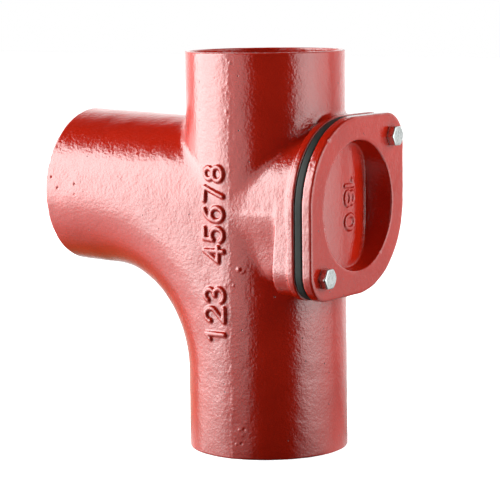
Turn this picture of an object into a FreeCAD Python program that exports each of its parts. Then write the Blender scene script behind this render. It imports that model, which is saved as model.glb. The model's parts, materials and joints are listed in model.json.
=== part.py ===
"""Soil pipe access branch: a cast iron pipe fitting with a swept side branch and a bolted access door.

Millimetres, +Z up along the main pipe. The origin is on the main pipe's axis, on its lower end face.
The branch leaves towards -X and rises slightly. The access door faces +X, opposite the branch.
"""
import FreeCAD, Part
import math
import os

# Pipe: one size for all three spigot ends
PIPE_DIAMETER = 110.0
PIPE_WALL = 4.2
RIM_CHAMFER = 0.7

# Straight lengths at the three ends, and the swept arc between outlet and branch
OUTLET_SPIGOT = 53.6
BRANCH_SPIGOT = 34.0
INLET_RISE = 103.6
BRANCH_RISE_DEG = 2.0
SWEEP_RADIUS = 122.0

# Strip that fills the sharp inner corner between branch and main pipe; it fades out near both sides
CREASE_FILL = 2.2
CREASE_STRIP_WIDTH = 10.0
CREASE_SIDE_INSET = 0.2

# Access stub, a little slimmer than the pipe, and the door flange cast on its end
STUB_INSET = 1.2
STUB_WALL = 3.8
STUB_CREASE_ROUND = 3.0
STUB_FLARE = 3.5
FLANGE_STANDOFF = 6.1
FLANGE_THICKNESS = 5.8
FLANGE_LEDGE = 6.5

# Door outline: a circle with two opposite square corners, which carry the bolts
DOOR_CORNER_RADIUS = 20.0
BOLT_EDGE_DISTANCE = 16.1

# Bosses behind the flange at the two bolt corners
BOSS_END_WALL = 5.0
BOSS_INSET = 1.5
BOSS_EDGE = 1.5
BOSS_ROOT = 0.4

# Gasket and cover; the cover's dish reaches into the stub
GASKET_THICKNESS = 6.5
COVER_THICKNESS = 7.2
COVER_EDGE_CHAMFER = 1.4
DISH_CLEARANCE = 2.2
DISH_WALL = 4.5
DISH_DRAFT_DEG = 7.0
RECESS_DEPTH = 9.6
RECESS_FLOOR_RADIUS = 82.0
RECESS_MOUTH_CHAMFER = 0.7

# Bolts: hexagon head screws into tapped holes in the bosses
BOLT_DIAMETER = 8.0
BOLT_LENGTH = 25.0
HEAD_ACROSS_FLATS = 13.0
HEAD_HEIGHT = 5.3
HEAD_CROWN_INSET = 0.3
HEAD_CHAMFER_DEG = 30.0
THREAD_CLEARANCE = 0.05
THREAD_SPARE = 2.5
HOLE_CLEARANCE = 0.5
DRILL_POINT_DEG = 118.0

# How far a cutting shape runs past the surface that it opens, and how near counts as the same place
OVERRUN = 5.0
NEAR = 0.01

# Sizes that follow from the ones above
BRANCH_RISE = math.radians(BRANCH_RISE_DEG)
BRANCH_TANGENT = SWEEP_RADIUS * (1 - math.sin(BRANCH_RISE)) / math.cos(BRANCH_RISE)
BRANCH_REACH = BRANCH_TANGENT + BRANCH_SPIGOT
SWEEP_HEIGHT = SWEEP_RADIUS * math.cos(BRANCH_RISE) - BRANCH_TANGENT * math.sin(BRANCH_RISE)
BRANCH_HEIGHT = OUTLET_SPIGOT + SWEEP_HEIGHT
RUN_LENGTH = BRANCH_HEIGHT + INLET_RISE
PIPE_RADIUS = PIPE_DIAMETER / 2
STUB_RADIUS = PIPE_RADIUS - STUB_INSET
STUB_BORE_RADIUS = STUB_RADIUS - STUB_WALL
DOOR_RADIUS = STUB_RADIUS + FLANGE_LEDGE
FLANGE_FACE_X = PIPE_RADIUS + FLANGE_STANDOFF
FLANGE_BACK_X = FLANGE_FACE_X - FLANGE_THICKNESS
FLANGE_MIDDLE_X = FLANGE_FACE_X - FLANGE_THICKNESS / 2
GASKET_FACE_X = FLANGE_FACE_X + GASKET_THICKNESS
COVER_FACE_X = GASKET_FACE_X + COVER_THICKNESS
DISH_SLOPE = math.tan(math.radians(DISH_DRAFT_DEG))
DISH_RADIUS = STUB_BORE_RADIUS - DISH_CLEARANCE + COVER_THICKNESS * DISH_SLOPE
RECESS_RADIUS = DISH_RADIUS - DISH_WALL
BOLT_OFFSET = DOOR_RADIUS - BOLT_EDGE_DISTANCE
TAPPED_DEPTH = BOLT_LENGTH - COVER_THICKNESS - GASKET_THICKNESS + THREAD_SPARE
BOSS_BACK_X = FLANGE_FACE_X - TAPPED_DEPTH - BOSS_END_WALL

ORIGIN = FreeCAD.Vector(0, 0, 0)
X_AXIS = FreeCAD.Vector(1, 0, 0)
Y_AXIS = FreeCAD.Vector(0, 1, 0)
Z_AXIS = FreeCAD.Vector(0, 0, 1)


def door_point(x, y, z):
    """A point of the door: x along the main frame, y and z from the door's own centre."""
    return FreeCAD.Vector(x, y, BRANCH_HEIGHT + z)


def on_circle(centre, radius, angle_deg, x):
    """A point of a circle in the door's plane at x, given its centre as (y, z)."""
    angle = math.radians(angle_deg)
    return door_point(x, centre[0] + radius * math.cos(angle), centre[1] + radius * math.sin(angle))


def arc_edge(start, middle, end):
    return Part.Arc(start, middle, end).toShape()


def line_edge(start, end):
    return Part.LineSegment(start, end).toShape()


def prism(edges, direction):
    """A solid pushed out from the closed outline of the edges."""
    return Part.Face(Part.Wire(edges)).extrude(direction)


def branch_direction():
    """Unit vector along the branch, away from the main pipe."""
    return FreeCAD.Vector(-math.cos(BRANCH_RISE), 0, math.sin(BRANCH_RISE))


def sweep_centre():
    """Centre of the arc that joins the branch's axis to the main axis below it."""
    return FreeCAD.Vector(-SWEEP_RADIUS, 0, OUTLET_SPIGOT)


def sweep_point(angle_deg):
    """Point of the swept centre line, at an angle above +X about the arc's centre."""
    angle = math.radians(angle_deg)
    return sweep_centre() + FreeCAD.Vector(math.cos(angle), 0, math.sin(angle)) * SWEEP_RADIUS


def half_disc(centre, radius, outward):
    """Half of a disc square to the main pipe, on the side that outward points to."""
    left = centre - Y_AXIS * radius
    right = centre + Y_AXIS * radius
    edges = [arc_edge(left, centre + outward * radius, right), line_edge(right, left)]
    return Part.Face(Part.Wire(edges))


def main_run(radius, overrun):
    """The main pipe: whole below the sweep and above the branch, and its door half between them."""
    lower = Part.makeCylinder(radius, OUTLET_SPIGOT + overrun, Z_AXIS * -overrun, Z_AXIS)
    door_half = half_disc(Z_AXIS * OUTLET_SPIGOT, radius, X_AXIS).extrude(Z_AXIS * SWEEP_HEIGHT)
    upper = Part.makeCylinder(radius, INLET_RISE + overrun, Z_AXIS * BRANCH_HEIGHT, Z_AXIS)
    return [lower, door_half, upper]


def branch_run(radius, overrun):
    """The branch: whole outside the sweep, and its upper half from there to the main pipe."""
    along = branch_direction()
    start = Z_AXIS * BRANCH_HEIGHT
    upward = along.cross(Y_AXIS) * -1
    outer = Part.makeCylinder(radius, BRANCH_SPIGOT + overrun, start + along * BRANCH_TANGENT, along)
    upper_half = half_disc(start, radius, upward).extrude(along * BRANCH_TANGENT)
    return [outer, upper_half]


def swept_throat(radius):
    """The swept side: a half tube bent along the arc, and the flat web between it and both pipes."""
    turn = 90 - BRANCH_RISE_DEG
    foot = sweep_point(0)
    shoulder = sweep_point(turn)
    bend = half_disc(foot, radius, X_AXIS * -1).revolve(sweep_centre(), Y_AXIS, -turn)
    corner = Z_AXIS * BRANCH_HEIGHT
    edges = [
        line_edge(foot, corner),
        line_edge(corner, shoulder),
        arc_edge(shoulder, sweep_point(turn / 2), foot),
    ]
    web = prism(edges, Y_AXIS * (2 * radius))
    web.translate(Y_AXIS * -radius)
    return [bend, web]


def branch_crease():
    """The filled corner above the branch: a strip across the pipes, its top following their crossing."""
    centre = Z_AXIS * BRANCH_HEIGHT
    upward = (Z_AXIS + branch_direction()).normalize()
    across = upward.cross(Y_AXIS)
    crossing_height = PIPE_RADIUS / math.sin(math.radians(90 - BRANCH_RISE_DEG) / 2)
    crown = centre + upward * (crossing_height + CREASE_FILL)
    side = centre + Y_AXIS * (PIPE_RADIUS - CREASE_SIDE_INSET)
    arch = Part.ArcOfEllipse(Part.Ellipse(crown, side, centre), -math.pi / 2, math.pi / 2).toShape()
    strip = prism([arch, line_edge(side, side * -1 + centre * 2)], across * CREASE_STRIP_WIDTH)
    strip.translate(across * (-CREASE_STRIP_WIDTH / 2))
    return strip


def swept_tee(radius, overrun=0.0):
    """Main pipe, branch and swept side as one solid of the given tube radius."""
    pieces = main_run(radius, overrun) + branch_run(radius, overrun) + swept_throat(radius)
    return pieces[0].fuse(pieces[1:]).removeSplitter()


def door_outline(x):
    """Edges of the door's outline: square corners at lower -Y and upper +Y, round elsewhere."""
    edges = []
    for side in (-1, 1):
        offset = side * (DOOR_RADIUS - DOOR_CORNER_RADIUS)
        turn = 0 if side > 0 else 180
        level = on_circle((0, 0), DOOR_RADIUS, turn, x)
        corner_start = on_circle((offset, offset), DOOR_CORNER_RADIUS, turn, x)
        corner_middle = on_circle((offset, offset), DOOR_CORNER_RADIUS, turn + 45, x)
        corner_end = on_circle((offset, offset), DOOR_CORNER_RADIUS, turn + 90, x)
        crown = on_circle((0, 0), DOOR_RADIUS, turn + 90, x)
        round_middle = on_circle((0, 0), DOOR_RADIUS, turn + 135, x)
        next_level = on_circle((0, 0), DOOR_RADIUS, turn + 180, x)
        edges.append(line_edge(level, corner_start))
        edges.append(arc_edge(corner_start, corner_middle, corner_end))
        edges.append(line_edge(corner_end, crown))
        edges.append(arc_edge(crown, round_middle, next_level))
    return edges


def door_plate(start_x, thickness):
    return prism(door_outline(start_x), X_AXIS * thickness)


def stub_flare():
    """Cone that widens the access stub by the same amount as its length, up to the flange's back."""
    start = door_point(FLANGE_BACK_X - STUB_FLARE, 0, 0)
    return Part.makeCone(STUB_RADIUS, STUB_RADIUS + STUB_FLARE, STUB_FLARE, start, X_AXIS)


def boss_wire(side, inset, x):
    """Outline of a bolt boss: straight sides that run from the stub to the flange's rounded corner."""
    root_radius = STUB_RADIUS - BOSS_ROOT
    corner_offset = DOOR_RADIUS - DOOR_CORNER_RADIUS
    corner_radius = DOOR_CORNER_RADIUS - inset
    spacing = corner_offset * math.sqrt(2)
    lean = math.degrees(math.acos((root_radius - corner_radius) / spacing))
    heading = 45 if side > 0 else 225
    corner = (side * corner_offset, side * corner_offset)
    first_root = on_circle((0, 0), root_radius, heading - lean, x)
    first_end = on_circle(corner, corner_radius, heading - lean, x)
    middle = on_circle(corner, corner_radius, heading, x)
    last_end = on_circle(corner, corner_radius, heading + lean, x)
    last_root = on_circle((0, 0), root_radius, heading + lean, x)
    edges = [
        line_edge(first_root, first_end),
        arc_edge(first_end, middle, last_end),
        line_edge(last_end, last_root),
        line_edge(last_root, first_root),
    ]
    return Part.Wire(edges)


def bolt_boss(side):
    """A boss behind one corner of the flange, with its back edge taken off."""
    shoulder_x = BOSS_BACK_X + BOSS_EDGE
    body_wire = boss_wire(side, BOSS_INSET, shoulder_x)
    body = Part.Face(body_wire).extrude(X_AXIS * (FLANGE_MIDDLE_X - shoulder_x))
    back_wire = boss_wire(side, BOSS_INSET + BOSS_EDGE, BOSS_BACK_X)
    taper = Part.makeLoft([back_wire, body_wire], True, True)
    return [body, taper]


def bolt_axis_point(side, x):
    return door_point(x, side * BOLT_OFFSET, side * BOLT_OFFSET)


def tapped_hole(side):
    """Blind hole for a bolt's thread, with the drill's cone at its end."""
    radius = BOLT_DIAMETER / 2 + THREAD_CLEARANCE
    end = bolt_axis_point(side, FLANGE_FACE_X - TAPPED_DEPTH)
    barrel = Part.makeCylinder(radius, TAPPED_DEPTH + OVERRUN, end, X_AXIS)
    point_length = radius / math.tan(math.radians(DRILL_POINT_DEG / 2))
    point = Part.makeCone(radius, 0, point_length, end, X_AXIS * -1)
    return barrel.fuse(point)


def clearance_hole(side, start_x, thickness):
    radius = BOLT_DIAMETER / 2 + HOLE_CLEARANCE
    start = bolt_axis_point(side, start_x - OVERRUN)
    return Part.makeCylinder(radius, thickness + 2 * OVERRUN, start, X_AXIS)


def stub_bore(start_x, end_x):
    """The round opening behind the door, the same through the stub, its flange and the gasket."""
    return Part.makeCylinder(STUB_BORE_RADIUS, end_x - start_x, door_point(start_x, 0, 0), X_AXIS)


def edge_points(edge):
    """Start, middle and end of an edge."""
    middle = (edge.FirstParameter + edge.LastParameter) / 2
    return [edge.valueAt(position) for position in (edge.FirstParameter, middle, edge.LastParameter)]


def lies_in_plane(edge, centre, normal):
    return all(abs((point - centre).dot(normal)) < NEAR for point in edge_points(edge))


def spigot_rims(body):
    """The circular edges at the three open pipe ends."""
    along = branch_direction()
    branch_end = Z_AXIS * BRANCH_HEIGHT + along * BRANCH_REACH
    ends = [(ORIGIN, Z_AXIS), (Z_AXIS * RUN_LENGTH, Z_AXIS), (branch_end, along)]
    return [edge for edge in body.Edges if any(lies_in_plane(edge, *end) for end in ends)]


def is_on_stub_crease(edge):
    """Whether an edge runs along the line where the access stub leaves the main pipe."""
    for point in edge_points(edge):
        from_main_axis = math.hypot(point.x, point.y)
        from_stub_axis = math.hypot(point.y, point.z - BRANCH_HEIGHT)
        on_both = abs(from_main_axis - PIPE_RADIUS) < NEAR and abs(from_stub_axis - STUB_RADIUS) < NEAR
        if point.x < NEAR or not on_both:
            return False
    return True


def pipe_with_stub():
    """Outside of the pipes and the plain access stub, with both casting creases softened."""
    stub = Part.makeCylinder(STUB_RADIUS, FLANGE_FACE_X, door_point(0, 0, 0), X_AXIS)
    joined = swept_tee(PIPE_RADIUS).fuse([branch_crease(), stub])
    return joined.makeFillet(STUB_CREASE_ROUND, [edge for edge in joined.Edges if is_on_stub_crease(edge)])


def branch_body():
    """The casting: three spigots, swept side, access stub, door flange and bolt bosses."""
    additions = [stub_flare(), door_plate(FLANGE_BACK_X, FLANGE_THICKNESS)]
    additions += bolt_boss(-1) + bolt_boss(1)
    outside = pipe_with_stub().fuse(additions).removeSplitter()
    inside = swept_tee(PIPE_RADIUS - PIPE_WALL, OVERRUN).fuse(stub_bore(0, FLANGE_FACE_X + OVERRUN))
    body = outside.cut([inside, tapped_hole(-1), tapped_hole(1)])
    return body.makeChamfer(RIM_CHAMFER, spigot_rims(body))


def access_gasket():
    """Full-face rubber gasket of the door's outline."""
    plate = door_plate(FLANGE_FACE_X, GASKET_THICKNESS)
    cuts = [stub_bore(FLANGE_FACE_X - OVERRUN, GASKET_FACE_X + OVERRUN)]
    cuts += [clearance_hole(side, FLANGE_FACE_X, GASKET_THICKNESS) for side in (-1, 1)]
    return plate.cut(cuts)


def floor_cylinder(radius):
    """Upright cylinder about the axis of the dish's curved floor, as tall as the door."""
    foot = door_point(COVER_FACE_X - RECESS_DEPTH - RECESS_FLOOR_RADIUS, 0, -DOOR_RADIUS)
    cylinder = Part.makeCylinder(radius, 2 * DOOR_RADIUS, foot, Z_AXIS)
    # The half turn puts the cylinder's seam line behind the dish, clear of the rounded floor edge
    cylinder.rotate(foot, Z_AXIS, 180)
    return cylinder


def drafted_plug(face_radius, end_x):
    """Cone along the door's axis, from the main axis to end_x, with the radius at the cover's face."""
    start_radius = face_radius - COVER_FACE_X * DISH_SLOPE
    end_radius = face_radius - (COVER_FACE_X - end_x) * DISH_SLOPE
    return Part.makeCone(start_radius, end_radius, end_x, door_point(0, 0, 0), X_AXIS)


def recess_space():
    """The hollow of the dish, between its drafted wall and its curved floor."""
    return drafted_plug(RECESS_RADIUS, COVER_FACE_X + OVERRUN).cut(floor_cylinder(RECESS_FLOOR_RADIUS))


def is_recess_mouth(edge):
    """Whether an edge is the round mouth of the recess in the cover's face."""
    centre = door_point(COVER_FACE_X, 0, 0)
    return all(abs((point - centre).Length - RECESS_RADIUS) < NEAR for point in edge_points(edge))


def access_cover():
    """Cover plate with a round dished recess, whose floor is curved like the pipe behind it."""
    plate = door_plate(GASKET_FACE_X, COVER_THICKNESS)
    face_outline = [edge for edge in plate.Edges if edge.BoundBox.XMin > COVER_FACE_X - NEAR]
    plate = plate.makeChamfer(COVER_EDGE_CHAMFER, face_outline)
    dish = drafted_plug(DISH_RADIUS, GASKET_FACE_X + COVER_THICKNESS / 2)
    dish = dish.cut(floor_cylinder(RECESS_FLOOR_RADIUS - DISH_WALL))
    holes = [clearance_hole(side, GASKET_FACE_X, COVER_THICKNESS) for side in (-1, 1)]
    cover = plate.fuse(dish).cut([recess_space()] + holes).removeSplitter()
    return cover.makeChamfer(RECESS_MOUTH_CHAMFER, [edge for edge in cover.Edges if is_recess_mouth(edge)])


def hexagon_head():
    """Bolt head along +X from the origin, with its outer corners taken off by a cone."""
    corner_radius = HEAD_ACROSS_FLATS / math.sqrt(3)
    angles = [math.radians(60 * step) for step in range(7)]
    corners = [FreeCAD.Vector(0, math.cos(angle), math.sin(angle)) * corner_radius for angle in angles]
    head = Part.Face(Part.makePolygon(corners)).extrude(X_AXIS * HEAD_HEIGHT)
    crown_radius = HEAD_ACROSS_FLATS / 2 - HEAD_CROWN_INSET
    base_radius = crown_radius + HEAD_HEIGHT / math.tan(math.radians(HEAD_CHAMFER_DEG))
    return head.common(Part.makeCone(base_radius, crown_radius, HEAD_HEIGHT, ORIGIN, X_AXIS))


def cover_bolt(side):
    """Hexagon head screw, its head seated on the cover's face."""
    shank = Part.makeCylinder(BOLT_DIAMETER / 2, BOLT_LENGTH, ORIGIN, X_AXIS * -1)
    bolt = shank.fuse(hexagon_head()).removeSplitter()
    bolt.translate(bolt_axis_point(side, COVER_FACE_X))
    return bolt


def main():
    os.makedirs("parts", exist_ok=True)
    nodes = {
        "branch_body": branch_body(),
        "access_gasket": access_gasket(),
        "access_cover": access_cover(),
        "cover_bolt_lower": cover_bolt(-1),
        "cover_bolt_upper": cover_bolt(1),
    }
    for name, shape in nodes.items():
        shape.exportStep(f"parts/{name}.step")


main()
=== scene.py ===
import json
import math

import bmesh
import bpy
import numpy as np
from mathutils import Matrix, Vector

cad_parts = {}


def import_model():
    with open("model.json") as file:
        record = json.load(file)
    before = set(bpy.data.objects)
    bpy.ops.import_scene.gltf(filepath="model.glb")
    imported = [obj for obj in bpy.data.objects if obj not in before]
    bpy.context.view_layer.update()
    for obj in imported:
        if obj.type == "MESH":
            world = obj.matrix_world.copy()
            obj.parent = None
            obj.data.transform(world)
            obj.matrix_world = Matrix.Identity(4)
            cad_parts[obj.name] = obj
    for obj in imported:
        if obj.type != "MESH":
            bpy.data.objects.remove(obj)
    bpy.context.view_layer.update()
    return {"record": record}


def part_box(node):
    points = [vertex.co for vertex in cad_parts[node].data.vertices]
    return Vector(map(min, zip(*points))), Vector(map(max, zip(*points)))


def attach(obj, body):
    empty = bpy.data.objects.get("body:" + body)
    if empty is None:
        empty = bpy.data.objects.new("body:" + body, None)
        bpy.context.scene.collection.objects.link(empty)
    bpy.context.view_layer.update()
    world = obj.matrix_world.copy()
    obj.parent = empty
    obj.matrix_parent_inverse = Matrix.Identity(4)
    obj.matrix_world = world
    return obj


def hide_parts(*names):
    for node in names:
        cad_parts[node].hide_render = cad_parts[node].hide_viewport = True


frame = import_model()

# Shapes are worked out in millimetres and handed to Blender in metres
MM = 0.001
FAR = 1e3
TINY = 1e-9
RNG = np.random.default_rng(110)


def cad_box(node):
    """Lowest and highest corner of a CAD node, in millimetres."""
    return [np.array(corner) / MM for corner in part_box(node)]


# Sizes read from the frame
MOUNTS = {mount["name"]: mount for mount in frame["record"]["mounts"]}
PIPE_RADIUS = MOUNTS["outlet_spigot"]["dims"]["r_mm"]
RUN_LENGTH = MOUNTS["inlet_spigot"]["pos_m"][2] / MM
BRANCH_END = np.array(MOUNTS["branch_spigot"]["pos_m"]) / MM
BRANCH_AXIS = np.array(MOUNTS["branch_spigot"]["axis"])
BRANCH_REACH = BRANCH_END[0] / BRANCH_AXIS[0]
BRANCH_HEIGHT = BRANCH_END[2] - BRANCH_AXIS[2] * BRANCH_REACH
FLANGE_FACE_X, DOOR_RADIUS = cad_box("branch_body")[1][:2]
GASKET_FACE_X = cad_box("access_gasket")[1][0]
COVER_FACE_X = cad_box("access_cover")[1][0]
BOLT_LOW, BOLT_HIGH = cad_box("cover_bolt_lower")
BOLT_OFFSET = -(BOLT_LOW[1] + BOLT_HIGH[1]) / 2
BOLT_TIP_X = BOLT_LOW[0]
BOLT_TOP_X = BOLT_HIGH[0]

# The two square corners of the door: which way each lies from the door's middle, along Y and along Z
LOWER = -1
UPPER = 1
SIDES = (LOWER, UPPER)

# Pipes
PIPE_WALL = 4.2
RIM_ROUND = 0.9
LIP_ROUND = 0.7
SWEEP_RADIUS = 122.0
OUTLET_SPIGOT = 53.6
BRANCH_SPIGOT = 34.0
BRANCH_TANGENT = BRANCH_REACH - BRANCH_SPIGOT
CREASE_BLEND = 6.0
BORE_CREASE_BLEND = 1.5

# Access stub and door flange; the stub, its webs and its bosses run a little way into the flange
STUB_RADIUS = PIPE_RADIUS - 1.2
STUB_BORE_RADIUS = 50.0
STUB_BLEND = 5.0
STUB_SIDE_BLEND = 0.4
FLANGE_BACK_X = FLANGE_FACE_X - 5.8
FLANGE_ROUND = 1.2
FLANGE_BLEND = 6.0
FLANGE_OVERLAP_X = FLANGE_BACK_X + 1.0
DOOR_CORNER_RADIUS = 20.0
CORNER_SPACING = (DOOR_RADIUS - DOOR_CORNER_RADIUS) * math.sqrt(2)

# Bosses, and the webs that lean out from the main pipe to them
ROOT_RADIUS = STUB_RADIUS - 0.4
BOSS_BACK_X = 42.3
BOSS_RADIUS = DOOR_CORNER_RADIUS - 1.5
BOSS_ROUND = 1.6
BOSS_BLEND = 1.5
WEB_START_X = 5.0
WEB_SHORTEST = 0.5
WEB_LENGTH = 28.0
WEB_SPREAD = 1.88
WEB_TAPER = 1.46
WEB_BLEND = 4.0
TAPPED_END_X = 47.3
TAPPED_RADIUS = 4.3

# Cover
COVER_EDGE_ROUND = 2.0
COVER_BACK_ROUND = 0.5
DISH_SLOPE = math.tan(math.radians(7.0))
DISH_WALL = 4.5
DISH_RADIUS = STUB_BORE_RADIUS - 2.2 + (COVER_FACE_X - GASKET_FACE_X) * DISH_SLOPE
DISH_BACK_ROUND = 1.5
DISH_TOP_X = COVER_FACE_X - 3.0
DISH_BLEND = 0.6
RECESS_RADIUS = DISH_RADIUS - DISH_WALL
RECESS_DEPTH = 9.6
RECESS_MOUTH_ROUND = 1.0
FLOOR_RADIUS = 82.0
FLOOR_AXIS_X = COVER_FACE_X - RECESS_DEPTH - FLOOR_RADIUS
FLOOR_EDGE_ROUND = 1.4
HOLE_RADIUS = 4.5

# Gasket and bolts
GASKET_INSET = 0.5
GASKET_ROUND = 1.7
HEAD_RADIUS = 13.0 / 2
HEAD_CHAMFER = math.radians(30.0)
HEAD_CROWN_INSET = 0.3
HEAD_ROUND = 0.25
HEAD_FOOT_ROUND = 0.2
SHANK_RADIUS = 4.0
SHANK_END_X = COVER_FACE_X + 1.0
THREAD_PITCH = 1.25
THREAD_WAVE = 0.3

# Grids: steps along X, Y and Z, and a margin that keeps the lines off the flat faces. In the body's
# grid, a cell's diagonal stays under the wall's thickness
BODY_STEPS = (2.4, 2.4, 2.4)
BODY_MARGINS = (3.1, 3.3, 3.2)
COVER_STEPS = (1.4, 1.4, 1.4)
COVER_MARGINS = (1.7, 1.9, 1.8)
GASKET_STEPS = (0.6, 2.0, 2.0)
GASKET_MARGINS = (1.0, 2.0, 2.0)
BOLT_STEPS = (0.42, 0.5, 0.5)
BOLT_MARGINS = (1.0, 1.1, 1.1)

# Raised casting marks: plain numbers, up the main pipe and down the recess's floor. The row's area is
# x from and to, and z from and to
STROKE_SLOPE = 1.4
ROW_TEXT = "123 45678"
ROW_HEIGHT = 18.2
ROW_WIDEN = 0.92
ROW_PITCH = 13.7
ROW_LOW_Z = 80.0
ROW_BASE_X = 3.0
ROW_STROKE = 3.0
ROW_RELIEF = 1.7
ROW_AREA = (-22.0, 11.0, ROW_LOW_Z - 5.0, ROW_LOW_Z + 127.0)
FLOOR_FIGURES = (("1", -17.9), ("8", -9.0), ("0", 7.2))
FLOOR_TEXT_HEIGHT = 14.4
FLOOR_TEXT_WIDEN = 1.2
FLOOR_TEXT_STROKE = 2.9
FLOOR_TEXT_RELIEF = 1.5
FLOOR_TEXT_Y = 3.0
FLOOR_TEXT_HALF_Y = 12.0
FLOOR_TEXT_HALF_Z = 26.0

# Sand nodules and pits on the front: x, z, radius and height, where a pit's height is below zero
FLAWS = (
    (8.3, 268.7, 0.9, 0.45),
    (6.2, 254.8, 0.8, 0.40),
    (5.3, 248.4, 0.8, 0.35),
    (5.3, 235.8, 1.2, 0.55),
    (-3.6, 258.2, 0.6, -0.40),
    (12.7, 130.4, 1.6, 0.80),
    (14.9, 128.0, 0.7, 0.40),
    (16.3, 129.0, 0.7, 0.40),
    (8.8, 119.3, 1.0, 0.45),
    (2.6, 118.6, 0.8, 0.30),
    (15.2, 21.0, 0.9, -0.60),
    (13.2, 11.0, 0.8, -0.60),
    (12.0, 20.4, 0.9, 0.45),
    (13.7, 16.8, 0.7, 0.35),
    (9.4, 10.3, 0.8, 0.40),
    (-141.0, 178.5, 0.9, -1.00),
    (-125.8, 181.8, 0.8, -0.95),
    (-147.0, 186.0, 0.8, -0.80),
    (-88.0, 188.5, 0.7, -0.55),
    (-125.8, 174.5, 0.7, -0.50),
    (-134.4, 176.0, 0.6, -0.30),
)
FLAW_SHARPNESS = 1.4
FLAW_REACH = 3.0
FLAW_MARGIN = 2.6

# Parting seam, with a grain of sand every few millimetres
SEAM_X = 6.6
SEAM_WIDTH = 1.3
SEAM_REACH = 4.5
GRAIN_SPACING = 3.7

# Chips in the cover's edges: centre, radius and height
CHIPS = (
    ((74.3, -37.0, 217.5), 1.3, -0.8),
    ((73.6, -39.5, 214.5), 1.0, 0.5),
    ((74.6, 28.3, 136.4), 1.2, -0.7),
    ((73.8, 26.6, 134.9), 0.9, 0.5),
    ((74.4, 35.4, 196.6), 1.0, -0.5),
)
CHIP_LEAST = 0.02

# The front of the outside, which carries the marks, and the recess's floor
FRONT_Y = -0.6 * PIPE_RADIUS
SKIN_RADIUS = PIPE_RADIUS - 2.0
FLOOR_LOW_X = 58.0
FLOOR_REACH = 38.0


# Figures
def arc_points(cx, cy, rx, ry, start_deg, end_deg, count):
    """Points of an elliptic arc."""
    angles = np.radians(np.linspace(start_deg, end_deg, count))
    return [(cx + rx * math.cos(a), cy + ry * math.sin(a)) for a in angles]


# Each figure is a list of strokes in a box 0.66 wide and 1 high, measured to the strokes' centre lines
FIGURES = {
    "0": [arc_points(0.33, 0.5, 0.33, 0.5, 0, 360, 33)],
    "1": [[(0.10, 0.78), (0.36, 1.0), (0.36, 0.0)]],
    "2": [arc_points(0.33, 0.70, 0.31, 0.30, 170, -35, 16) + [(0.02, 0.0), (0.66, 0.0)]],
    "3": [arc_points(0.31, 0.745, 0.28, 0.255, 155, -90, 15),
          arc_points(0.31, 0.26, 0.33, 0.26, 85, -155, 16)],
    "4": [[(0.50, 0.0), (0.50, 1.0), (0.0, 0.28), (0.68, 0.28)]],
    "5": [[(0.60, 1.0), (0.12, 1.0), (0.07, 0.55)] + arc_points(0.30, 0.32, 0.33, 0.32, 125, -150, 16)],
    "6": [arc_points(0.33, 0.32, 0.32, 0.32, 0, 360, 29), arc_points(0.62, 0.34, 0.61, 0.66, 180, 98, 12)],
    "7": [[(0.0, 1.0), (0.64, 1.0), (0.22, 0.0)]],
    "8": [arc_points(0.33, 0.755, 0.27, 0.245, 0, 360, 25), arc_points(0.33, 0.26, 0.33, 0.26, 0, 360, 29)],
}


def figure_segments(letter, height, start, widen):
    """Line segments of one figure: reading direction first, upward second, in millimetres."""
    segments = []
    for stroke in FIGURES.get(letter, []):
        points = np.array(stroke) * height * np.array([widen, 1.0]) + np.array([start, 0.0])
        segments += list(zip(points[:-1], points[1:]))
    return segments


def stroke_distance(u, v, segments):
    """Distance from each (u, v) to the nearest stroke's centre line."""
    nearest = np.full(u.shape, FAR)
    for start, end in segments:
        span = end - start
        share = ((u - start[0]) * span[0] + (v - start[1]) * span[1]) / float(span @ span)
        share = np.clip(share, 0.0, 1.0)
        gap = np.hypot(u - start[0] - share * span[0], v - start[1] - share * span[1])
        nearest = np.minimum(nearest, gap)
    return nearest


def raised(distance, stroke, relief):
    """Height of a cast stroke with leaning sides, a round top edge and a soft foot."""
    share = np.clip((stroke / 2 + STROKE_SLOPE / 2 - distance) / STROKE_SLOPE, 0.0, 1.0)
    return relief * share * share * (3 - 2 * share)


# Fields: negative inside the material, in millimetres
def smooth_min(a, b, reach):
    """Union whose inner corner is filled over the given reach."""
    overlap = np.maximum(reach - np.abs(a - b), 0.0) / np.maximum(reach, TINY)
    return np.minimum(a, b) - overlap * overlap * reach / 4


def round_max(a, b, radius):
    """Intersection whose outer edge is rounded to a radius."""
    flat = np.minimum(np.maximum(a, b), -radius)
    return flat + np.hypot(np.maximum(a + radius, 0.0), np.maximum(b + radius, 0.0))


def between(x, low, high):
    """Space between two planes across X."""
    return np.abs(x - (low + high) / 2) - (high - low) / 2


def side_fade(y, radius):
    """1 on the middle plane of the pipes, falling to 0 at their sides."""
    return np.sqrt(np.maximum(1 - (y / radius) ** 2, 0.0))


def branch_place(x, z):
    """Distance along the branch and height above its axis."""
    along = x * BRANCH_AXIS[0] + (z - BRANCH_HEIGHT) * BRANCH_AXIS[2]
    above = x * BRANCH_AXIS[2] - (z - BRANCH_HEIGHT) * BRANCH_AXIS[0]
    return along, above


def pipes_field(x, y, z, radius, crease):
    """Main pipe, branch and swept side of one tube radius."""
    along, above = branch_place(x, z)
    to_main = np.abs(x)
    to_branch = np.hypot(np.maximum(-along, 0.0), above)
    from_centre = np.hypot(x + SWEEP_RADIUS, z - OUTLET_SPIGOT)
    in_throat = (x <= 0) & (above <= 0) & (z >= OUTLET_SPIGOT) & (along <= BRANCH_TANGENT)
    to_throat = np.where(in_throat, np.maximum(SWEEP_RADIUS - from_centre, 0.0), FAR)
    reach = crease * side_fade(y, radius)
    straight = smooth_min(np.hypot(to_main, y) - radius, np.hypot(to_branch, y) - radius, reach)
    return np.minimum(straight, np.hypot(to_throat, y) - radius)


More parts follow.
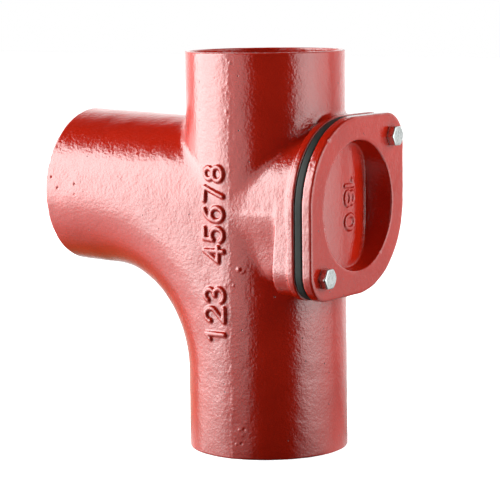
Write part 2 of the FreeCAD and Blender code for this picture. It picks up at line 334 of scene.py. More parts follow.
def door_outline_field(y, z, inset=0.0):
    """The door's outline: a circle with two square corners, at lower -Y and upper +Y."""
    up = z - BRANCH_HEIGHT
    side = DOOR_RADIUS - DOOR_CORNER_RADIUS
    across, over = np.abs(y) - side, np.abs(up) - side
    square = np.hypot(np.maximum(across, 0), np.maximum(over, 0)) + np.minimum(np.maximum(across, over), 0)
    circle = np.hypot(y, up) - DOOR_RADIUS
    return np.where(y * up >= 0, square - DOOR_CORNER_RADIUS, circle) + inset


def corner_outline(y, z, side, spacing, end_radius):
    """Straight sides from the stub's round to a smaller round, set out towards one square corner."""
    up = z - BRANCH_HEIGHT
    ahead = (y + up) * side / math.sqrt(2)
    beside = np.abs(y - up) / math.sqrt(2)
    lean = (ROOT_RADIUS - end_radius) / spacing
    slope = np.sqrt(1 - lean * lean)
    reach = beside * slope + ahead * lean - ROOT_RADIUS
    past_end = (ahead - spacing) * slope - beside * lean > 0
    outline = np.where(past_end, np.hypot(ahead - spacing, beside) - end_radius, reach)
    return np.maximum(outline, ROOT_RADIUS * lean - ahead)


def boss_field(x, y, z, side):
    """Boss behind one square corner, with straight sides along the stub's axis."""
    outline = corner_outline(y, z, side, CORNER_SPACING, BOSS_RADIUS)
    return np.maximum(round_max(outline, BOSS_BACK_X - x, BOSS_ROUND), x - FLANGE_OVERLAP_X)


def web_field(x, y, z, side):
    """Leaning web that carries one boss from the side of the main pipe."""
    past = np.clip(x - WEB_START_X, WEB_SHORTEST, WEB_LENGTH)
    outline = corner_outline(y, z, side, WEB_SPREAD * past, ROOT_RADIUS - WEB_TAPER * past)
    return np.maximum(outline, np.maximum(WEB_START_X - x, x - FLANGE_OVERLAP_X))


def bolt_line_gap(y, z, side):
    """Distance from one bolt's axis."""
    return np.hypot(y - side * BOLT_OFFSET, z - BRANCH_HEIGHT - side * BOLT_OFFSET)


def with_bolt_holes(solid, y, z):
    """The solid with a clearance hole right through it at each bolt."""
    for side in SIDES:
        solid = np.maximum(solid, HOLE_RADIUS - bolt_line_gap(y, z, side))
    return solid


def body_field(x, y, z):
    """The branch casting."""
    along, _ = branch_place(x, z)
    ends = np.maximum(np.maximum(-z, z - RUN_LENGTH), along - BRANCH_REACH)
    outer = round_max(pipes_field(x, y, z, PIPE_RADIUS, CREASE_BLEND), ends, RIM_ROUND)
    from_stub_axis = np.hypot(y, z - BRANCH_HEIGHT)
    stub = np.maximum(np.maximum(from_stub_axis - STUB_RADIUS, -x), x - FLANGE_OVERLAP_X)
    flange = round_max(door_outline_field(y, z), between(x, FLANGE_BACK_X, FLANGE_FACE_X), FLANGE_ROUND)
    door = smooth_min(stub, flange, FLANGE_BLEND)
    for side in SIDES:
        door = smooth_min(door, web_field(x, y, z, side), WEB_BLEND)
        door = smooth_min(door, boss_field(x, y, z, side), BOSS_BLEND)
    outside = smooth_min(outer, door, STUB_BLEND * side_fade(y, PIPE_RADIUS) + STUB_SIDE_BLEND)
    bore = np.maximum(from_stub_axis - STUB_BORE_RADIUS, -x)
    cavity = np.minimum(pipes_field(x, y, z, PIPE_RADIUS - PIPE_WALL, BORE_CREASE_BLEND), bore)
    metal = round_max(outside, -cavity, LIP_ROUND)
    for side in SIDES:
        tapped = np.maximum(bolt_line_gap(y, z, side) - TAPPED_RADIUS, TAPPED_END_X - x)
        metal = np.maximum(metal, -tapped)
    return metal


def cover_field(x, y, z):
    """Cover plate with its dish and curved recess."""
    from_axis = np.hypot(y, z - BRANCH_HEIGHT)
    lean = (COVER_FACE_X - x) * DISH_SLOPE
    from_floor_axis = np.hypot(x - FLOOR_AXIS_X, y)
    plate = round_max(door_outline_field(y, z), x - COVER_FACE_X, COVER_EDGE_ROUND)
    plate = round_max(plate, GASKET_FACE_X - x, COVER_BACK_ROUND)
    back = FLOOR_RADIUS - DISH_WALL - from_floor_axis
    dish = np.maximum(round_max(from_axis - DISH_RADIUS + lean, back, DISH_BACK_ROUND), x - DISH_TOP_X)
    hollow = round_max(from_axis - RECESS_RADIUS + lean, FLOOR_RADIUS - from_floor_axis, FLOOR_EDGE_ROUND)
    metal = round_max(smooth_min(plate, dish, DISH_BLEND), -hollow, RECESS_MOUTH_ROUND)
    return with_bolt_holes(metal, y, z)


def gasket_field(x, y, z):
    """Full-face rubber gasket, its rim a little short of the metal's and rounded."""
    from_axis = np.hypot(y, z - BRANCH_HEIGHT)
    outline = door_outline_field(y, z, GASKET_INSET)
    plate = round_max(outline, between(x, FLANGE_FACE_X, GASKET_FACE_X), GASKET_ROUND)
    return with_bolt_holes(np.maximum(plate, STUB_BORE_RADIUS - from_axis), y, z)


def bolt_field(x, y, z, side):
    """Hexagon head screw with a rounded chamfer on the head and a thread on the shank."""
    across, over = y - side * BOLT_OFFSET, z - BRANCH_HEIGHT - side * BOLT_OFFSET
    gap = np.hypot(across, over)
    angle = np.arctan2(over, across)
    sector = np.mod(angle, math.pi / 3) - math.pi / 6
    flats = gap * np.cos(sector) - HEAD_RADIUS
    from_crown = gap - HEAD_RADIUS + HEAD_CROWN_INSET
    crown = from_crown * math.sin(HEAD_CHAMFER) + (x - BOLT_TOP_X) * math.cos(HEAD_CHAMFER)
    head = round_max(round_max(flats, crown, HEAD_ROUND), x - BOLT_TOP_X, HEAD_ROUND)
    head = round_max(head, COVER_FACE_X - x, HEAD_FOOT_ROUND)
    thread = THREAD_WAVE * np.cos(2 * math.pi * x / THREAD_PITCH + angle) - THREAD_WAVE
    shank = np.maximum(gap - SHANK_RADIUS - thread, between(x, BOLT_TIP_X, SHANK_END_X))
    return np.minimum(head, shank)


# Meshing
def grid_lines(low, high, coarse, fine_bands=()):
    """Grid positions with a coarse step, and a finer one inside each (start, end, step) band."""
    places = [low]
    while places[-1] < high:
        here = places[-1]
        step = coarse
        for start, end, fine in fine_bands:
            if start - coarse < here < end:
                step = min(step, max(fine, start - here))
        places.append(here + step)
    return np.array(places)


def node_grid(node, steps, margins, x_bands=(), z_bands=()):
    """Grid lines along X, Y and Z through a CAD node's box and a margin round it."""
    low, high = cad_box(node)
    bands = (x_bands, (), z_bands)
    return [grid_lines(low[a] - margins[a], high[a] + margins[a], steps[a], bands[a]) for a in range(3)]


def shifted(array, axis, first, second):
    """A block of the array, cut by one from the front or the back along the two axes other than axis."""
    parts = [slice(None)] * 3
    for other, cut in zip([a for a in range(3) if a != axis], (first, second)):
        parts[other] = slice(1, None) if cut else slice(None, -1)
    return array[tuple(parts)]


def surface_net(field, xs, ys, zs):
    """Vertices and four-sided faces of the field's zero surface on a grid of uneven steps.

    Each cell that the surface passes gets one vertex, at the mean of the places where it crosses the cell's
    edges. Each crossed edge gets one face, which joins the vertices of the four cells round it.
    """
    lines = (xs, ys, zs)
    places = np.meshgrid(xs, ys, zs, indexing="ij", sparse=True)
    values = field(*places)
    inside = values < 0
    cells = tuple(len(line) - 1 for line in lines)
    total = np.zeros(cells + (3,), np.float32)
    count = np.zeros(cells, np.float32)
    crossings = []
    for axis in range(3):
        low = [slice(None)] * 3
        high = [slice(None)] * 3
        low[axis], high[axis] = slice(None, -1), slice(1, None)
        low, high = tuple(low), tuple(high)
        crossed = inside[low] != inside[high]
        crossings.append((crossed, inside[low]))
        share = np.where(crossed, values[low] / np.where(crossed, values[low] - values[high], 1.0), 0.0)
        starts = [place[low] if place.shape[axis] > 1 else place for place in places]
        point = [np.broadcast_to(start, share.shape) for start in starts]
        steps = np.diff(lines[axis]).reshape([-1 if a == axis else 1 for a in range(3)])
        point[axis] = point[axis] + share * steps
        for first in (0, 1):
            for second in (0, 1):
                here = shifted(crossed, axis, first, second)
                count += here
                for a in range(3):
                    total[..., a] += np.where(here, shifted(point[a], axis, first, second), 0.0)
    active = count > 0
    number = np.full(cells, -1, np.int64)
    number[active] = np.arange(int(active.sum()))
    vertices = (total[active] / count[active][:, None]).astype(float)
    faces = []
    for axis in range(3):
        crossed, inside_low = crossings[axis]
        first, second = [a for a in range(3) if a != axis]
        trim = [slice(1, -1)] * 3
        trim[axis] = slice(None)
        where = np.argwhere(crossed[tuple(trim)])
        where[:, first] += 1
        where[:, second] += 1
        ring = []
        for back_first, back_second in ((1, 1), (0, 1), (0, 0), (1, 0)):
            cell = where.copy()
            cell[:, first] -= back_first
            cell[:, second] -= back_second
            ring.append(number[tuple(cell.T)])
        quads = np.stack(ring, axis=1)
        outward = inside_low[tuple(where.T)]
        if axis == 1:
            outward = ~outward
        quads[~outward] = quads[~outward][:, ::-1]
        faces.append(quads)
    return vertices, np.concatenate(faces)


def gradient(field, points, step=0.03):
    """The field's slope at each point."""
    slopes = []
    for axis in range(3):
        offset = np.zeros(3)
        offset[axis] = step
        ahead, behind = points + offset, points - offset
        slopes.append((field(*ahead.T) - field(*behind.T)) / (2 * step))
    return np.stack(slopes, axis=1)


def settle(field, points, rounds=4, limit=1.0, least_slope=0.3):
    """Moves points onto the field's zero surface, by no more than the limit in each round."""
    points = points.copy()
    for _ in range(rounds):
        value = field(*points.T)
        slope = gradient(field, points)
        length = np.maximum((slope**2).sum(1), least_slope)
        move = -slope * (value / length)[:, None]
        size = np.maximum(np.linalg.norm(move, axis=1), TINY)
        points += move * np.minimum(1.0, limit / size)[:, None]
    return points


def mesh_of(name, vertices, faces):
    """Mesh of four-sided faces."""
    mesh = bpy.data.meshes.new(name)
    mesh.vertices.add(len(vertices))
    mesh.vertices.foreach_set("co", np.asarray(vertices, np.float32).ravel())
    mesh.loops.add(faces.size)
    mesh.loops.foreach_set("vertex_index", faces.astype(np.int32).ravel())
    mesh.polygons.add(len(faces))
    mesh.polygons.foreach_set("loop_start", np.arange(0, faces.size, 4, dtype=np.int32))
    mesh.update(calc_edges=True)
    mesh.validate()
    return mesh


def points_of(mesh):
    """Places of the mesh's vertices."""
    points = np.zeros(len(mesh.vertices) * 3, np.float32)
    mesh.vertices.foreach_get("co", points)
    return points.reshape(-1, 3).astype(float)


def refine(mesh, chosen, cuts):
    """Splits the faces whose centre the test chooses, so that small marks have enough points."""
    made = bmesh.new()
    made.from_mesh(mesh)
    made.faces.ensure_lookup_table()
    made.edges.ensure_lookup_table()
    centres = np.array([face.calc_center_median()[:] for face in made.faces])
    picked = np.flatnonzero(chosen(*centres.T))
    numbers = {edge.index for index in picked for edge in made.faces[index].edges}
    edges = [made.edges[number] for number in sorted(numbers)]
    bmesh.ops.subdivide_edges(made, edges=edges, cuts=cuts, use_grid_fill=True)
    made.to_mesh(mesh)
    made.free()


def clip_to_cad(points, node):
    """Keeps points inside a CAD node's box."""
    low, high = cad_box(node)
    return np.clip(points, low, high)


def lift_points(mesh, points, field, lift, node):
    """Moves a mesh's points out along the field's slope by their lift, as far as the node's box allows."""
    normals = gradient(field, points)
    normals /= np.maximum(np.linalg.norm(normals, axis=1), TINY)[:, None]
    lifted = clip_to_cad(points + normals * lift[:, None], node)
    mesh.vertices.foreach_set("co", lifted.astype(np.float32).ravel())
    mesh.update()


def waves(points, amplitude, shortest, longest, count):
    """Sum of many slow waves in all directions: the unevenness of a sand casting."""
    directions = RNG.normal(size=(count, 3))
    directions /= np.linalg.norm(directions, axis=1)[:, None]
    lengths = shortest * (longest / shortest) ** RNG.random(count)
    phases = RNG.random(count) * 2 * math.pi
    total = np.zeros(len(points))
    for direction, length, phase in zip(directions, lengths, phases):
        total += np.sin(points @ direction * (2 * math.pi / length) + phase) * math.sqrt(length / longest)
    return total * amplitude / math.sqrt(count / 2)


# Pieces
def front_skin(x, y):
    """The outer side of the front half, without the bore."""
    return (y < FRONT_Y) & (np.hypot(np.maximum(x, 0.0), y) > SKIN_RADIUS)


def row_area(x, z):
    """The strip that holds the row of figures."""
    left, right, low, high = ROW_AREA
    return (x > left) & (x < right) & (z > low) & (z < high)


def marked_place(x, y, z):
    """Where the outside carries figures, the seam or a flaw."""
    marked = row_area(x, z) | (np.abs(x - SEAM_X) < SEAM_REACH)
    for flaw_x, flaw_z, radius, _ in FLAWS:
        marked |= np.hypot(x - flaw_x, z - flaw_z) < radius + FLAW_MARGIN
    return front_skin(x, y) & marked


def seam_height(x, z):
    """Parting seam: a faint rib that wanders and swells."""
    wander = 0.5 * np.sin(z / 31.0) + 0.3 * np.sin(z / 7.3 + 1.0)
    strength = 0.07 + 0.04 * np.sin(z / 3.1) + 0.03 * np.sin(z / 1.9)
    return strength * np.exp(-(((x - SEAM_X - wander) / SEAM_WIDTH) ** 2))


def seam_grains():
    """Grains of sand along the seam: x, z, radius and height."""
    return [(SEAM_X + RNG.normal() * SEAM_WIDTH, z, 0.5 + 0.5 * RNG.random(), 0.10 + 0.16 * RNG.random())
            for z in np.arange(4.0, RUN_LENGTH - 2.0, GRAIN_SPACING)]


def body_marks(points):
    """Height of everything cast or left on the outside of the branch, along the surface."""
    x, y, z = points.T
    outside = front_skin(x, y)
    near = outside & row_area(x, z)
    reading, upward = z[near] - ROW_LOW_Z, ROW_BASE_X - x[near]
    segments = []
    for place, letter in enumerate(ROW_TEXT):
        segments += figure_segments(letter, ROW_HEIGHT - ROW_STROKE, place * ROW_PITCH, ROW_WIDEN)
    height = np.zeros(len(points))
    height[near] = raised(stroke_distance(reading, upward - ROW_STROKE / 2, segments), ROW_STROKE, ROW_RELIEF)
    height += np.where(outside, seam_height(x, z), 0.0)
    for flaw_x, flaw_z, radius, lift in [*FLAWS, *seam_grains()]:
        gap = np.hypot(x - flaw_x, z - flaw_z) / radius
        spot = lift * np.exp(-gap * gap * FLAW_SHARPNESS)
        height += np.where(outside & (gap < FLAW_REACH), spot, 0.0)
    return height


def body_mesh():
    """Branch casting, finer at the ends, behind the door and where it carries marks."""
    branch_low_x = cad_box("branch_body")[0][0]
    branch_end = (branch_low_x - 1, branch_low_x + 5.5, 0.6)
    door = (BOSS_BACK_X, FLANGE_FACE_X + 0.6, 0.75)
    outlet = (-0.9, 2.0, 0.5)
    inlet = (RUN_LENGTH - 2.0, RUN_LENGTH + 0.6, 0.5)
    grid = node_grid("branch_body", BODY_STEPS, BODY_MARGINS, (branch_end, door), (outlet, inlet))
    vertices, faces = surface_net(body_field, *grid)
    mesh = mesh_of("branch_casting", settle(body_field, vertices), faces)
    refine(mesh, marked_place, 3)
    points = settle(body_field, points_of(mesh), 3)
    # The skin grows even towards the flange's face
    behind_face = np.clip((FLANGE_FACE_X - 1.5 - points[:, 0]) / 3, 0, 1)
    uneven = waves(points, amplitude=0.06, shortest=7.0, longest=30.0, count=48)
    lift_points(mesh, points, body_field, uneven * behind_face + body_marks(points), "branch_body")
    return mesh


def chip_lift(x, y, z):
    """Height of the chips in the cover's edges."""
    lift = np.zeros(len(x))
    for (chip_x, chip_y, chip_z), radius, height in CHIPS:
        gap = np.sqrt((x - chip_x) ** 2 + (y - chip_y) ** 2 + (z - chip_z) ** 2) / radius
        lift += height * np.exp(-gap * gap)
    return lift


def marked_cover_place(x, y, z):
    """Where the cover carries its figures or a chip."""
    beside = (np.abs(y - FLOOR_TEXT_Y) < FLOOR_TEXT_HALF_Y) & (np.abs(z - BRANCH_HEIGHT) < FLOOR_TEXT_HALF_Z)
    on_floor = np.hypot(x - FLOOR_AXIS_X, y) > FLOOR_RADIUS - 1
    return (beside & on_floor) | (np.abs(chip_lift(x, y, z)) > CHIP_LEAST)


def floor_figures(x, y, z):
    """Height of the raised figures on the recess's floor."""
    on_floor = (x > FLOOR_LOW_X) & (np.hypot(y, z - BRANCH_HEIGHT) < FLOOR_REACH)
    reading = BRANCH_HEIGHT - z
    upward = y - FLOOR_TEXT_Y + FLOOR_TEXT_HEIGHT / 2 - FLOOR_TEXT_STROKE / 2
    segments = []
    for letter, start in FLOOR_FIGURES:
        segments += figure_segments(letter, FLOOR_TEXT_HEIGHT - FLOOR_TEXT_STROKE, start, FLOOR_TEXT_WIDEN)
    distance = stroke_distance(reading, upward, segments)
    return np.where(on_floor, raised(distance, FLOOR_TEXT_STROKE, FLOOR_TEXT_RELIEF), 0.0)


def cover_mesh():
    """Cover, finer at its front and back face and where it carries marks."""
    back = (GASKET_FACE_X - 0.6, GASKET_FACE_X + 0.6, 0.5)
    front = (COVER_FACE_X - 3, COVER_FACE_X + 0.6, 0.5)
    grid = node_grid("access_cover", COVER_STEPS, COVER_MARGINS, (back, front))
    vertices, faces = surface_net(cover_field, *grid)
    mesh = mesh_of("door_cover", settle(cover_field, vertices, limit=0.7), faces)
    refine(mesh, marked_cover_place, 2)
    points = settle(cover_field, points_of(mesh), 3, limit=0.7)
    # The skin grows even towards the cover's back face
    before_back = np.clip((points[:, 0] - GASKET_FACE_X - 1.0) / 2, 0, 1)
    uneven = waves(points, amplitude=0.06, shortest=9.0, longest=30.0, count=30)
    lift = floor_figures(*points.T) + uneven * before_back + chip_lift(*points.T)
    lift_points(mesh, points, cover_field, lift, "access_cover")
    return mesh


def gasket_mesh():
    """Gasket, with fine steps only through its thickness."""
    grid = node_grid("access_gasket", GASKET_STEPS, GASKET_MARGINS)
    vertices, faces = surface_net(gasket_field, *grid)
    points = clip_to_cad(settle(gasket_field, vertices, limit=0.5), "access_gasket")
    return mesh_of("door_gasket", points, faces)


def bolt_mesh(name, node, side):
    """Bolt at one of the door's square corners."""
    def field(x, y, z):
        return bolt_field(x, y, z, side)

    vertices, faces = surface_net(field, *node_grid(node, BOLT_STEPS, BOLT_MARGINS))
    points = clip_to_cad(settle(field, vertices, limit=0.3), node)
    return mesh_of(name, points, faces)


def piece(name, mesh, material, replaces):
    """Shows a mesh in place of one CAD node."""
    for polygon in mesh.polygons:
        polygon.use_smooth = True
    mesh.transform(Matrix.Scale(MM, 4))
    made = bpy.data.objects.new(name, mesh)
    bpy.context.scene.collection.objects.link(made)
    made.data.materials.append(material)
    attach(made, "root")
    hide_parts(replaces)


# Materials
class Tree:
    """A node tree with short ways to add and join nodes."""

    def __init__(self, tree):
        self.tree = tree

    def fill(self, node, inputs):
        """Sets each input to its number or colour, or joins another node's output to it."""
        for key, value in inputs.items():
            if isinstance(value, bpy.types.NodeSocket):
                self.tree.links.new(value, node.inputs[key])
            else:
                node.inputs[key].default_value = value
        return node.outputs

    def add(self, kind, inputs, operation=None):
        """Adds a node, fills its inputs and gives its outputs."""
        node = self.tree.nodes.new(kind)
        if operation:
            node.operation = operation
        return self.fill(node, inputs)

    def ramp(self, source, stops):
        """Colour by a list of positions and colours."""
        node = self.tree.nodes.new("ShaderNodeValToRGB")
        elements = node.color_ramp.elements
        while len(elements) < len(stops):
            elements.new(0.5)
        for element, (position, colour) in zip(elements, stops):
            element.position = position
            element.color = (*colour, 1.0)
        return self.fill(node, {"Fac": source})["Color"]

    def map_range(self, source, low, high, to_low, to_high):
        inputs = {"Value": source, "From Min": low, "From Max": high, "To Min": to_low, "To Max": to_high}
        return self.add("ShaderNodeMapRange", inputs)["Result"]

    def product(self, first, second):
        return self.add("ShaderNodeMath", {0: first, 1: second}, "MULTIPLY")["Value"]


class Surface(Tree):
    """A material's node tree, laid out by the object's own coordinates."""

    def __init__(self, name):
        self.material = bpy.data.materials.new(name)
        self.material.use_nodes = True
        super().__init__(self.material.node_tree)
        self.shader = self.tree.nodes["Principled BSDF"]
        self.place = self.add("ShaderNodeTexCoord", {})["Object"]

    def noise(self, scale, detail=3.0, roughness=0.55):
        inputs = {"Vector": self.place, "Scale": scale, "Detail": detail, "Roughness": roughness}
        return self.add("ShaderNodeTexNoise", inputs)["Fac"]

    def pits(self, scale, size, share):
        """1 in small round spots: one in the given share of the cells of a cell pattern."""
        cells = self.add("ShaderNodeTexVoronoi", {"Vector": self.place, "Scale": scale})
        chosen = self.add("ShaderNodeSeparateColor", {"Color": cells["Color"]})
        spot = self.map_range(cells["Distance"], size, size * 1.6, 1.0, 0.0)
        kept = self.map_range(chosen["Red"], share - 0.01, share, 1.0, 0.0)
        return self.product(spot, kept)

    def darken(self, colour, share, dark):
        """Goes over to a dark colour; a mix node's colour inputs are 6 and 7, and its colour output is 2."""
        node = self.tree.nodes.new("ShaderNodeMix")
        node.data_type = "RGBA"
        return self.fill(node, {"Factor": share, 6: colour, 7: (*dark, 1.0)})[2]

    def distance(self, point):
        """Distance from a point to the shaded place."""
        return self.add("ShaderNodeVectorMath", {0: self.place, 1: point}, "DISTANCE")["Value"]

    def bump(self, source, distance):
        return self.add("ShaderNodeBump", {"Height": source, "Distance": distance})["Normal"]

    def bump_over(self, under, source, distance):
        inputs = {"Height": source, "Distance": distance, "Normal": under}
        return self.add("ShaderNodeBump", inputs)["Normal"]


def red_enamel():
    """Glossy red paint over a sand cast skin, with a few small pits whose shade is painted dark into the
    colour.
    """
    made = Surface("red_enamel")
    tone = made.noise(38.0, 4.0)
    colour = made.ramp(tone, [(0.30, (0.345, 0.0100, 0.0026)), (0.70, (0.405, 0.0130, 0.0036))])
    # Pinholes: each is dented in by the bump and, as painted shade, its inside is painted dark red
    pinholes_and_painted_shade = made.pits(scale=150.0, size=0.055, share=0.22)
    skin = made.bump(made.noise(150.0, 2.0, 0.5), 0.00018)
    peel = made.bump_over(skin, made.noise(460.0, 2.0, 0.6), 0.00022)
    made.fill(made.shader, {
        "Base Color": made.darken(colour, pinholes_and_painted_shade, (0.05, 0.004, 0.002)),
        "Roughness": made.map_range(made.noise(160.0), 0.3, 0.7, 0.09, 0.15),
        "IOR": 1.85,
        "Normal": made.bump_over(peel, pinholes_and_painted_shade, -0.0002),
    })
    return made.material


def black_rubber():
    """Matt black rubber."""
    made = Surface("black_rubber")
    tone = made.noise(300.0, 4.0)
    made.fill(made.shader, {
        "Base Color": made.ramp(tone, [(0.3, (0.012, 0.015, 0.013)), (0.75, (0.024, 0.029, 0.026))]),
        "Roughness": made.map_range(tone, 0.3, 0.7, 0.50, 0.66),
        "Specular IOR Level": 0.25,
        "Normal": made.bump(made.noise(900.0), 0.00008),
    })
    return made.material


def zinc_plate():
    """Dull zinc plating."""
    made = Surface("zinc_plate")
    tone = made.noise(420.0, 4.0)
    made.fill(made.shader, {
        "Base Color": made.ramp(tone, [(0.3, (0.60, 0.64, 0.63)), (0.7, (0.78, 0.82, 0.81))]),
        "Metallic": 1.0,
        "Roughness": made.map_range(tone, 0.3, 0.7, 0.22, 0.36),
        "Normal": made.bump(made.noise(1500.0), 0.00004),
    })
    return made.material


# Camera, fitted to the photo's outline: degrees and metres; the point aimed at is given across and up
CAMERA_AZ = 34.2
CAMERA_EL = 7.299
CAMERA_ROLL = -0.682
CAMERA_DISTANCE = 1.490947
CAMERA_AIM = (-0.01181, 0.136814)
SENSOR_WIDTH = 36.0
PICTURE_PIXELS = 500.0
FOCAL_PIXELS = 2146.974

# Area lamps: bearing from the camera's own (right is positive) and height in degrees, distance,
# width and height of the panel in metres, and power in watts
LAMPS = (
    ("key", -108, 42, 1.7, 1.4, 1.2, 18),
    ("fill", 92, 22, 1.8, 1.6, 1.2, 25),
)
LAMP_AIM = Vector((0.0, 0.0, 0.14))

# Room round the object, by bearing from the camera's own direction (right is positive): a bright screen
# on the left, and all the rest
SCREEN_PEAK = 6.4
LEFT_SCREEN = ((-126, 0.0), (-119, 0.75), (-110, 0.95), (-74, 0.95), (-64, 0.50), (-56, 0.08), (-50, 0.0))
ROOM_PEAK = 3.0
ROOM = (
    (-180, 1.65),
    (-145, 1.35),
    (-120, 0.60),
    (-70, 1.20),
    (-32, 1.10),
    (-25, 0.50),
    (-21, 0.02),
    (32, 0.015),
    (39, 0.20),
    (45, 1.70),
    (60, 2.60),
    (70, 2.60),
    (85, 1.85),
    (101, 1.30),
    (107, 0.70),
    (112, 0.38),
    (113.5, 0.38),
    (115.5, 0.82),
    (128, 0.82),
    (144, 1.28),
)
# How the screen and the room end towards the top: from and to a height of the direction, where 1 is
# straight up, and the levels at the two
SCREEN_TOP = (0.65, 0.735, SCREEN_PEAK, 0.0)
ROOM_TOP = (0.45, 0.72, ROOM_PEAK, 0.03)
# How many times as much of that light matt surfaces get as mirrors do
SCREEN_ON_MATT = 0.55
ROOM_ON_MATT = 0.75
FLOOR_ON_MATT = 1.9

# Floor: how its painted glow grows lighter away from the object and from the painted shadow under the branch,
# as from and to a distance in metres, and the levels at the two
FLOOR_SIZE = 6.0
FLOOR_DROP = 0.0002
FLOOR_SCREEN = (0.40, 0.90, 0.12 * SCREEN_PEAK, 0.42 * SCREEN_PEAK)
FLOOR_ROOM = (0.10, 0.60, 0.22 * ROOM_PEAK, 0.62 * ROOM_PEAK)
# Middle of the painted shadow of the branch on the floor's glow, and how that glow drops towards it
BRANCH_SHADE = (-0.20, 0.09, 0.0)
SHADE_LEVELS = (0.08, 0.28, 0.05, 1.0)
# Painted red bounce: an orange glow on the floor under the branch, for the light its red paint throws down
PAINTED_BOUNCE_COLOUR = (1.0, 0.50, 0.15, 1.0)
PAINTED_BOUNCE_LEVELS = (0.08, 0.26, 0.32, 0.0)
FLOOR_OWN_LIGHT = 0.80
BLACK = (0.0, 0.0, 0.0, 1.0)
PALE = (0.86, 0.86, 0.86, 1.0)
WHITE = (1.0, 1.0, 1.0, 1.0)


# Studio
class Room(Tree):
    """Adds nodes that give the room's light along a direction to a material or the world."""

    def __init__(self, tree, direction, light_kind):
        super().__init__(tree)
        self.light_kind = light_kind
        turn = (0.0, 0.0, math.radians(90 - CAMERA_AZ))
        turned = self.add("ShaderNodeMapping", {"Vector": direction, "Rotation": turn})["Vector"]
        bearing = self.tree.nodes.new("ShaderNodeTexGradient")
        bearing.gradient_type = "RADIAL"
        self.bearing = self.fill(bearing, {"Vector": turned})["Fac"]

    def light(self, colour, strength):
        return self.add(self.light_kind, {"Color": colour, "Strength": strength})[0]

    def from_round(self, levels, peak, strength, on_matt):
        """Light by bearing: the given strength in mirrors, and on_matt times that on matt surfaces."""
        stops = [(0.5 + degrees / 360, [level / peak] * 3) for degrees, level in levels]
        path = self.add("ShaderNodeLightPath", {})
        factor = self.map_range(path["Is Diffuse Ray"], 0.0, 1.0, 1.0, on_matt)
        return self.light(self.ramp(self.bearing, stops), self.product(strength, factor))

    def added(self, first, second):
        return self.add("ShaderNodeAddShader", {0: first, 1: second})[0]

    def to_camera(self, seen, other):
        """One look for the camera and another for all else."""
        path = self.add("ShaderNodeLightPath", {})
        return self.add("ShaderNodeMixShader", {"Fac": path["Is Camera Ray"], 1: other, 2: seen})[0]


def camera():
    """Camera that sees the object as the photo does."""
    az, el, roll = (math.radians(v) for v in (CAMERA_AZ, CAMERA_EL, CAMERA_ROLL))
    back = Vector((math.sin(az) * math.cos(el), -math.cos(az) * math.cos(el), math.sin(el)))
    right = (-back).cross(Vector((0, 0, 1))).normalized()
    up = right.cross(-back)
    place = right * CAMERA_AIM[0] + Vector((0, 0, CAMERA_AIM[1])) + back * CAMERA_DISTANCE
    right_rolled = right * math.cos(roll) + up * math.sin(roll)
    up_rolled = up * math.cos(roll) - right * math.sin(roll)
    seen = bpy.data.cameras.new("camera")
    seen.lens = SENSOR_WIDTH * FOCAL_PIXELS / PICTURE_PIXELS
    seen.sensor_width = SENSOR_WIDTH
    seen.clip_start = 0.05
    seen.clip_end = 50.0
    made = bpy.data.objects.new("camera", seen)
    bpy.context.scene.collection.objects.link(made)
    turn = Matrix((right_rolled, up_rolled, back)).transposed()
    made.matrix_world = Matrix.Translation(place) @ turn.to_4x4()
    bpy.context.scene.camera = made


def softbox(name, bearing_deg, height_deg, distance, width, tall, power):
    """Area lamp that faces the object and doesn't show in its gloss."""
    bearing = math.radians(CAMERA_AZ - 90 + bearing_deg)
    lift = math.radians(height_deg)
    way = Vector((math.cos(bearing) * math.cos(lift), math.sin(bearing) * math.cos(lift), math.sin(lift)))
    light = bpy.data.lights.new(name, "AREA")
    light.shape = "RECTANGLE"
    light.size = width
    light.size_y = tall
    light.energy = power
    lamp = bpy.data.objects.new(name, light)
    bpy.context.scene.collection.objects.link(lamp)
    lamp.location = LAMP_AIM + way * distance
    lamp.rotation_euler = way.to_track_quat("Z", "Y").to_euler()
    lamp.visible_glossy = False


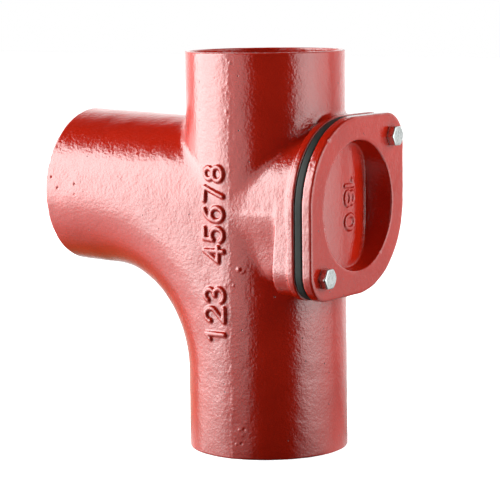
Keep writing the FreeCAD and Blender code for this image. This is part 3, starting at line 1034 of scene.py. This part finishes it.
def floor():
    """Plain pale floor to the camera; to the object it glows by place like the room behind it.

    Its glow is painted light: painted shade dims it near the object, a painted shadow darkens it under the
    branch, and a painted red bounce glows there as if thrown down by the red paint above it. It also has a
    faint sheen that mirrors the object.
    """
    mesh = bpy.data.meshes.new("floor")
    corners = [(-1, -1), (1, -1), (1, 1), (-1, 1)]
    mesh.from_pydata([(x * FLOOR_SIZE, y * FLOOR_SIZE, 0) for x, y in corners], [], [(0, 1, 2, 3)])
    made = bpy.data.objects.new("floor", mesh)
    bpy.context.scene.collection.objects.link(made)
    nodes = Surface("floor")
    room = Room(nodes.tree, nodes.place, "ShaderNodeEmission")
    from_object = nodes.distance((0.0, 0.0, 0.0))
    from_shade = nodes.distance(BRANCH_SHADE)
    # Painted shadow: the floor's glow falls to a twentieth under the branch
    under = nodes.map_range(from_shade, *SHADE_LEVELS)
    screen = nodes.product(under, nodes.map_range(from_object, *FLOOR_SCREEN))
    rest = nodes.product(under, nodes.map_range(from_object, *FLOOR_ROOM))
    glow = room.added(room.from_round(LEFT_SCREEN, 1.0, screen, FLOOR_ON_MATT),
                      room.from_round(ROOM, ROOM_PEAK, rest, FLOOR_ON_MATT))
    # Painted red bounce from the branch's paint, strongest right under it
    painted_bounce = room.light(PAINTED_BOUNCE_COLOUR, nodes.map_range(from_shade, *PAINTED_BOUNCE_LEVELS))
    sheen = nodes.fill(nodes.shader, {"Base Color": BLACK, "Roughness": 0.2, "IOR": 1.4})["BSDF"]
    pale = room.add("ShaderNodeBsdfDiffuse", {"Color": PALE})[0]
    seen = room.added(pale, room.light(WHITE, FLOOR_OWN_LIGHT))
    shown = room.to_camera(seen, room.added(glow, room.added(painted_bounce, sheen)))
    nodes.fill(nodes.tree.nodes["Material Output"], {"Surface": shown})
    made.data.materials.append(nodes.material)
    made.location.z = -FLOOR_DROP


def world():
    """White to the camera; to the object a bright screen on its left and a dimmer room round it."""
    made = bpy.data.worlds.new("studio")
    made.use_nodes = True
    bpy.context.scene.world = made
    made.node_tree.nodes.clear()
    tree = Tree(made.node_tree)
    direction = tree.add("ShaderNodeTexCoord", {})["Generated"]
    height = tree.add("ShaderNodeSeparateXYZ", {"Vector": direction})["Z"]
    room = Room(made.node_tree, direction, "ShaderNodeBackground")
    screen = room.from_round(LEFT_SCREEN, 1.0, room.map_range(height, *SCREEN_TOP), SCREEN_ON_MATT)
    rest = room.from_round(ROOM, ROOM_PEAK, room.map_range(height, *ROOM_TOP), ROOM_ON_MATT)
    shown = room.to_camera(room.light(WHITE, 1.0), room.added(screen, rest))
    room.add("ShaderNodeOutputWorld", {"Surface": shown})


enamel, rubber, zinc = red_enamel(), black_rubber(), zinc_plate()
piece("branch_casting", body_mesh(), enamel, "branch_body")
piece("door_cover", cover_mesh(), enamel, "access_cover")
piece("door_gasket", gasket_mesh(), rubber, "access_gasket")
lower_mesh = bolt_mesh("bolt_lower", "cover_bolt_lower", LOWER)
piece("bolt_lower", lower_mesh, zinc, "cover_bolt_lower")
upper_mesh = bolt_mesh("bolt_upper", "cover_bolt_upper", UPPER)
piece("bolt_upper", upper_mesh, zinc, "cover_bolt_upper")

camera()
floor()
world()
for lamp in LAMPS:
    softbox(*lamp)
bpy.context.scene.view_settings.view_transform = "Standard"
